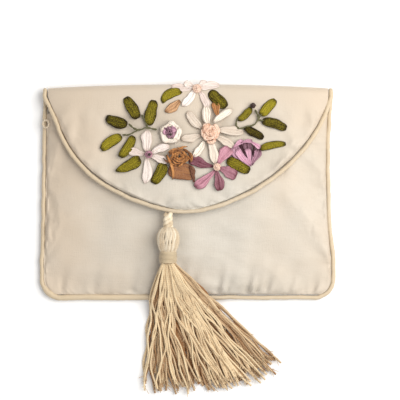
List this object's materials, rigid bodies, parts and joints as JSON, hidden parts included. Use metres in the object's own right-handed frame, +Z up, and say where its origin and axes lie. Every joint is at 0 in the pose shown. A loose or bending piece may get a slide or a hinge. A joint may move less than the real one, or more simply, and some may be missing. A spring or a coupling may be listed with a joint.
{
  "type": "chinese embroidered purse",
  "caption": "Small cream silk envelope purse lying flat, with piped edges, ribbon-embroidered flowers on its flap and a thread tassel hung from the flap's tip.",
  "frame": {"origin": "middle of the purse's flat back, on the surface that it lies on", "axes": "+Z up from the flat back through the flap, +Y from the bottom seam to the fold, +X to the purse's right as seen from above"},
  "size_m": [0.1224, 0.1272, 0.0167],
  "materials": {
    "silk": "satin",
    "piping_silk": "satin",
    "snap_metal": "satin",
    "loop_thread": "matte",
    "tassel_thread": "satin",
    "leaf_ribbon": "satin",
    "white_ribbon": "satin",
    "peach_ribbon": "satin",
    "lavender_ribbon": "satin",
    "mauve_ribbon": "satin",
    "brown_ribbon": "satin"
  },
  "bodies": {
    "root": {"back_and_flap": "silk", "front_panel": "silk", "body_piping": "piping_silk", "flap_piping": "piping_silk", "snap": "snap_metal", "side_loop": "loop_thread", "tassel_loop": "tassel_thread", "tassel": "tassel_thread", "tassel_binding": "tassel_thread", "tan_ribbon": "peach_ribbon", "brown_ribbon": "brown_ribbon", "white_flower": "white_ribbon", "pale_flower": "white_ribbon", "lavender_flower": "lavender_ribbon", "top_flower": "peach_ribbon", "mauve_bud": "mauve_ribbon", "brown_rose": "brown_ribbon", "pink_bud": "peach_ribbon", "white_flower_centre": "peach_ribbon", "top_flower_centre": "peach_ribbon", "pale_flower_knot": "mauve_ribbon", "lavender_flower_knot": "peach_ribbon", "leaf_01": "leaf_ribbon", "leaf_02": "leaf_ribbon", "leaf_03": "leaf_ribbon", "leaf_04": "leaf_ribbon", "leaf_05": "leaf_ribbon", "leaf_06": "leaf_ribbon", "leaf_07": "leaf_ribbon", "leaf_08": "leaf_ribbon", "leaf_09": "leaf_ribbon", "leaf_10": "leaf_ribbon", "leaf_11": "leaf_ribbon", "leaf_12": "leaf_ribbon", "leaf_13": "leaf_ribbon", "leaf_14": "leaf_ribbon", "leaf_15": "leaf_ribbon"}
  },
  "joints": []
}
